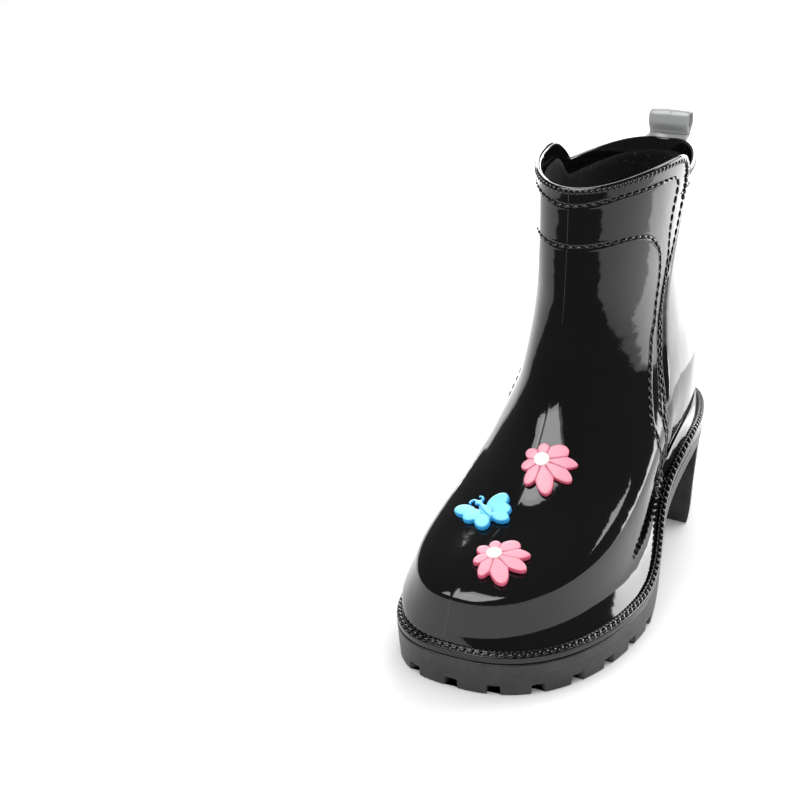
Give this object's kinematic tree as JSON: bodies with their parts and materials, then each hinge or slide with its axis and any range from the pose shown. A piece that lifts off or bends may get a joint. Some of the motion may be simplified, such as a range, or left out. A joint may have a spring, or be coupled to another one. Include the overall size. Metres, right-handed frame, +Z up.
{
  "type": "rubber rain boot",
  "caption": "Glossy moulded ankle rain boot with a lugged sole, high block heel, pull tab, textile lining and soft charms on the vamp.",
  "frame": {"origin": "on the ground, under the centre of the bounding box", "axes": "+X towards the outer side of the foot, -Y towards the toe, +Z up"},
  "size_m": [0.1114, 0.2606, 0.2226],
  "materials": {
    "gloss_pvc": "mirror gloss moulded PVC",
    "sole_rubber": "satin moulded rubber",
    "lining_textile": "matte knitted textile",
    "foam": "matte foam",
    "board": "matte fibre board",
    "shank_steel": "rolled spring steel",
    "core_plastic": "matte filler",
    "tab_pvc": "gloss PVC strip",
    "charm_pink": "soft satin PVC",
    "charm_white": "soft satin PVC",
    "charm_blue": "soft satin PVC"
  },
  "bodies": {
    "boot": {"upper_front_panel": "gloss_pvc", "upper_rear_panel": "gloss_pvc", "lining": "lining_textile", "welt": "sole_rubber", "outsole": "sole_rubber", "heel_block": "sole_rubber", "heel_core": "core_plastic", "shank": "shank_steel", "insole_board": "board", "footbed": "foam", "footbed_cover": "lining_textile", "pull_tab_anchor": "tab_pvc", "flower_upper_petals": "charm_pink", "flower_upper_centre": "charm_white", "flower_lower_petals": "charm_pink", "flower_lower_centre": "charm_white", "butterfly_wings": "charm_blue", "butterfly_body": "charm_blue"},
    "tab": {"pull_tab": "tab_pvc"}
  },
  "joints": [
    {"name": "pull_tab_flex", "type": "hinge", "parent": "boot", "child": "tab", "pos_m": [-0.0068, 0.11815, 0.20985], "axis": [1, 0, 0], "range_deg": [-75, 60], "stiffness_Nm_per_rad": 0.02}
  ]
}
